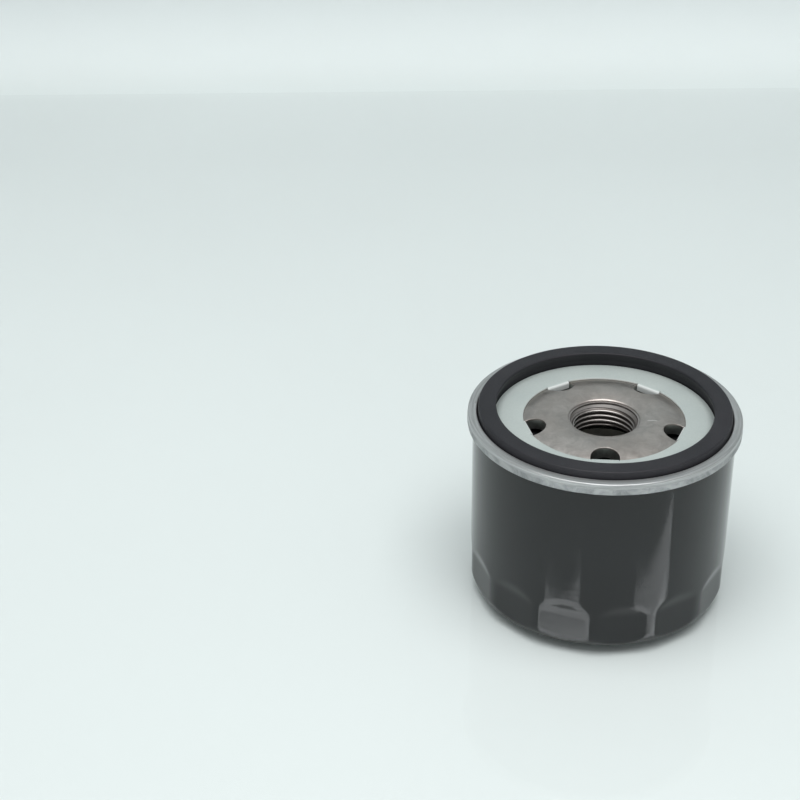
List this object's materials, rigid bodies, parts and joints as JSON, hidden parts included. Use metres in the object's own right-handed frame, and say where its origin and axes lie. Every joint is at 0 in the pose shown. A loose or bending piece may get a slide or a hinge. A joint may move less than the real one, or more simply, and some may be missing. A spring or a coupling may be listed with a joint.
{
  "type": "spin-on oil filter",
  "caption": "Short spin-on engine oil filter: painted steel can with wrench flats, seamed lid, threaded tapping plate, face gasket, pleated element and valves inside.",
  "frame": {"origin": "centre of the base, where the can stands on a flat surface", "axes": "+Z along the thread axis, from the closed base to the gasket; -Y towards the viewer, near the first inlet hole"},
  "size_m": [0.0792, 0.0792, 0.0596],
  "materials": {
    "black_paint": "gloss black stoved paint",
    "zinc_plate": "matte zinc plate with a faint green cast",
    "bare_steel": "oiled bare steel, dull with fine scratches",
    "gasket_rubber": "matte black nitrile",
    "valve_rubber": "smooth black nitrile",
    "sealing_compound": "dried sealing compound",
    "tin_plate": "tin-plated sheet",
    "potting": "cured plastisol",
    "filter_paper": "resin-treated filter paper",
    "valve_steel": "pressed steel",
    "spring_steel": "oil-tempered spring steel"
  },
  "bodies": {
    "filter": {"can": "black_paint", "seaming_lid": "zinc_plate", "seam_sealant": "sealing_compound", "gasket": "gasket_rubber", "tapping_plate": "bare_steel", "top_end_cap": "tin_plate", "bottom_end_cap": "tin_plate", "top_potting": "potting", "bottom_potting": "potting", "centre_tube": "tin_plate", "filter_paper": "filter_paper", "pleat_clip": "tin_plate", "bypass_valve_body": "tin_plate", "bypass_spring_retainer": "valve_steel", "element_support_spring": "spring_steel"},
    "bypass_poppet": {"bypass_valve_disc": "valve_steel", "bypass_valve_stem": "valve_steel", "bypass_valve_seal": "gasket_rubber", "bypass_valve_spring": "spring_steel"},
    "drainback_skirt": {"anti_drainback_valve": "valve_rubber"}
  },
  "joints": [
    {"name": "bypass_valve_lift", "type": "slide", "parent": "filter", "child": "bypass_poppet", "axis": [0, 0, 1], "range_m": [0, 0.004], "stiffness_N_per_m": 1500, "springref_m": -0.0075, "deforming": ["bypass_valve_spring"]},
    {"name": "drainback_flex", "type": "slide", "parent": "filter", "child": "drainback_skirt", "axis": [0, 0, -1], "range_m": [0, 0.0015], "stiffness_N_per_m": 300, "springref_m": -0.0003, "deforming": ["anti_drainback_valve"]}
  ]
}
